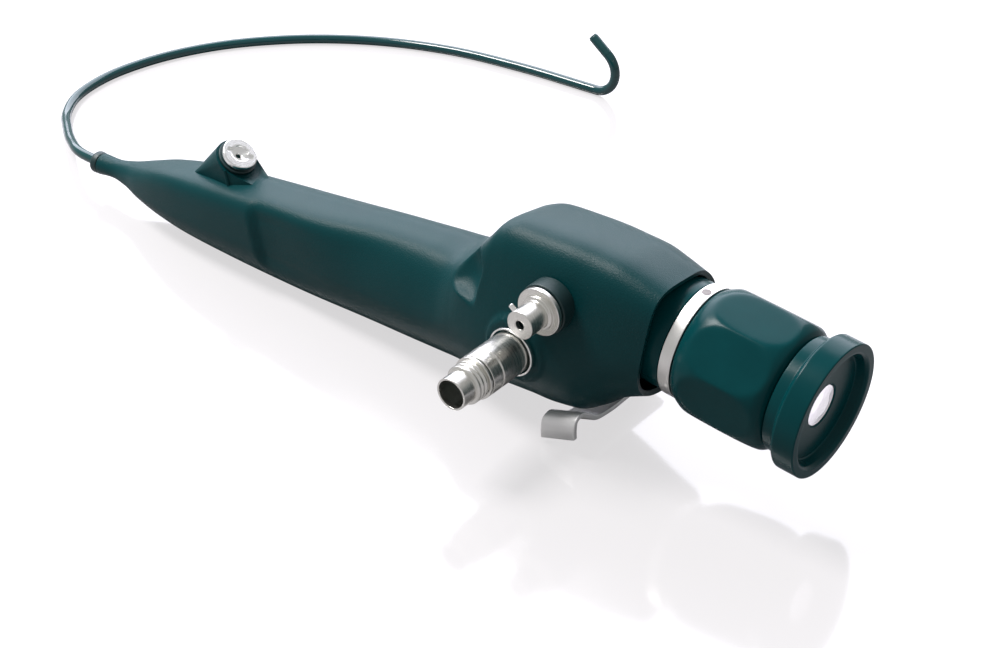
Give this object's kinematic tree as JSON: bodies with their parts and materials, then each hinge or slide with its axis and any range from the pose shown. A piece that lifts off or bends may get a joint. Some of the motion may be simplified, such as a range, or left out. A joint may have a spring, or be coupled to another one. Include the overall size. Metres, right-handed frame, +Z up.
{
  "type": "flexible endoscope",
  "caption": "Fibre endoscope: slim handle that swells into a head with eyepiece, light post, vent valve, channel port and thumb lever, with a thin steerable insertion tube.",
  "frame": {"origin": "on the table, under the middle of the handle's box", "axes": "+X back along the scope to the eye, -Y out of the light post, +Z up from the table"},
  "size_m": [0.2761, 0.1702, 0.0496],
  "materials": {
    "housing_plastic": "dark teal, fine spark-eroded grain",
    "black_plastic": "black with a teal sheen, satin",
    "stainless_steel": "turned and polished",
    "satin_metal": "satin",
    "black_rubber": "matt",
    "tube_coating": "dark green-black, glossy",
    "optical_glass": "clear, coated",
    "brass": "machined"
  },
  "bodies": {
    "handle": {"handle_housing": "housing_plastic", "nose_ring": "black_rubber", "tube_ferrule": "stainless_steel", "channel_port": "stainless_steel", "port_gasket": "black_rubber", "light_post": "stainless_steel", "light_post_tip": "stainless_steel", "light_post_ring": "stainless_steel", "light_fibre_face": "optical_glass", "light_post_nut": "brass", "vent_gasket": "black_rubber", "vent_connector": "stainless_steel", "vent_pin": "stainless_steel", "vent_spring_seat": "brass", "vent_spring": "stainless_steel", "eyepiece_neck": "black_plastic", "index_ring": "satin_metal", "window_retainer": "black_plastic", "eyepiece_window": "optical_glass", "eyecup": "black_plastic", "image_guide_ferrule": "stainless_steel", "chassis": "satin_metal", "shaft_bush": "brass", "shaft_seal": "black_rubber", "wire_guide": "brass", "insertion_tube": "tube_coating", "bending_sheath": "tube_coating"},
    "thumb_lever": {"thumb_lever": "satin_metal", "lever_screw": "stainless_steel", "steering_shaft": "stainless_steel", "steering_drum": "satin_metal"},
    "upper_pull_wire": {"upper_pull_wire": "stainless_steel"},
    "lower_pull_wire": {"lower_pull_wire": "stainless_steel"},
    "focus_ring": {"focus_ring": "black_plastic"},
    "lens_cell": {"lens_cell": "brass", "cell_lens": "optical_glass"},
    "vent_poppet": {"vent_poppet": "black_rubber"},
    "bending_link_1": {"bending_link_1": "stainless_steel"},
    "bending_link_2": {"bending_link_2": "stainless_steel"},
    "bending_link_3": {"bending_link_3": "stainless_steel"},
    "bending_link_4": {"bending_link_4": "stainless_steel"},
    "bending_link_5": {"bending_link_5": "stainless_steel"},
    "bending_link_6": {"bending_link_6": "stainless_steel"},
    "bending_link_7": {"bending_link_7": "stainless_steel"},
    "distal_tip": {"distal_tip": "black_plastic", "tip_lens": "optical_glass"}
  },
  "joints": [
    {"name": "lever_hinge", "type": "hinge", "parent": "handle", "child": "thumb_lever", "pos_m": [0.03285, 0.02745, 0.0302], "axis": [0, 1, 0], "range_deg": [0, 50]},
    {"name": "upper_wire_slide", "type": "slide", "parent": "handle", "child": "upper_pull_wire", "axis": [-0.8183, 0, -0.5748], "range_m": [-0.0058, 0]},
    {"name": "lower_wire_slide", "type": "slide", "parent": "handle", "child": "lower_pull_wire", "axis": [-0.8183, 0, -0.5748], "range_m": [0, 0.0058]},
    {"name": "focus_turn", "type": "hinge", "parent": "handle", "child": "focus_ring", "pos_m": [0.11085, 0.00955, 0.0272], "axis": [0.9949, 0, -0.1011], "range_deg": [-60, 60]},
    {"name": "cell_slide", "type": "slide", "parent": "handle", "child": "lens_cell", "axis": [0.9949, 0, -0.1011], "range_m": [-0.0013, 0.0013]},
    {"name": "poppet_slide", "type": "slide", "parent": "handle", "child": "vent_poppet", "axis": [0, 1, 0], "range_m": [0, 0.0008], "stiffness_N_per_m": 400, "springref_m": -0.001, "deforming": ["vent_spring"]},
    {"name": "bend_1", "type": "hinge", "parent": "handle", "child": "bending_link_1", "pos_m": [-0.04105, 0.13735, 0.0015], "axis": [0, 1, 0], "range_deg": [0, 34.33], "deforming": ["bending_sheath"]},
    {"name": "bend_2", "type": "hinge", "parent": "bending_link_1", "child": "bending_link_2", "pos_m": [-0.03895, 0.13735, 0.00217], "axis": [0, 1, 0], "range_deg": [0, 34.33]},
    {"name": "bend_3", "type": "hinge", "parent": "bending_link_2", "child": "bending_link_3", "pos_m": [-0.03717, 0.13735, 0.00346], "axis": [0, 1, 0], "range_deg": [0, 34.33]},
    {"name": "bend_4", "type": "hinge", "parent": "bending_link_3", "child": "bending_link_4", "pos_m": [-0.03586, 0.13735, 0.00523], "axis": [0, 1, 0], "range_deg": [0, 34.33]},
    {"name": "bend_5", "type": "hinge", "parent": "bending_link_4", "child": "bending_link_5", "pos_m": [-0.03516, 0.13735, 0.00732], "axis": [0, 1, 0], "range_deg": [0, 34.33]},
    {"name": "bend_6", "type": "hinge", "parent": "bending_link_5", "child": "bending_link_6", "pos_m": [-0.03514, 0.13735, 0.00952], "axis": [0, 1, 0], "range_deg": [0, 34.33]},
    {"name": "bend_7", "type": "hinge", "parent": "bending_link_6", "child": "bending_link_7", "pos_m": [-0.03579, 0.13735, 0.01162], "axis": [0, 1, 0], "range_deg": [0, 34.33]},
    {"name": "tip_bend", "type": "hinge", "parent": "bending_link_7", "child": "distal_tip", "pos_m": [-0.03706, 0.13735, 0.01342], "axis": [0, 1, 0], "range_deg": [0, 34.33]}
  ],
  "couplings": [
    {"joint": "upper_wire_slide", "follows": "lever_hinge", "m_per_rad": -0.0065},
    {"joint": "lower_wire_slide", "follows": "lever_hinge", "m_per_rad": 0.0065},
    {"joint": "cell_slide", "follows": "focus_turn", "m_per_rad": 0.0011459},
    {"joint": "bend_1", "follows": "lever_hinge", "ratio": 0.6825},
    {"joint": "bend_2", "follows": "lever_hinge", "ratio": 0.6825},
    {"joint": "bend_3", "follows": "lever_hinge", "ratio": 0.6825},
    {"joint": "bend_4", "follows": "lever_hinge", "ratio": 0.6825},
    {"joint": "bend_5", "follows": "lever_hinge", "ratio": 0.6825},
    {"joint": "bend_6", "follows": "lever_hinge", "ratio": 0.6825},
    {"joint": "bend_7", "follows": "lever_hinge", "ratio": 0.6825},
    {"joint": "tip_bend", "follows": "lever_hinge", "ratio": 0.6825}
  ]
}
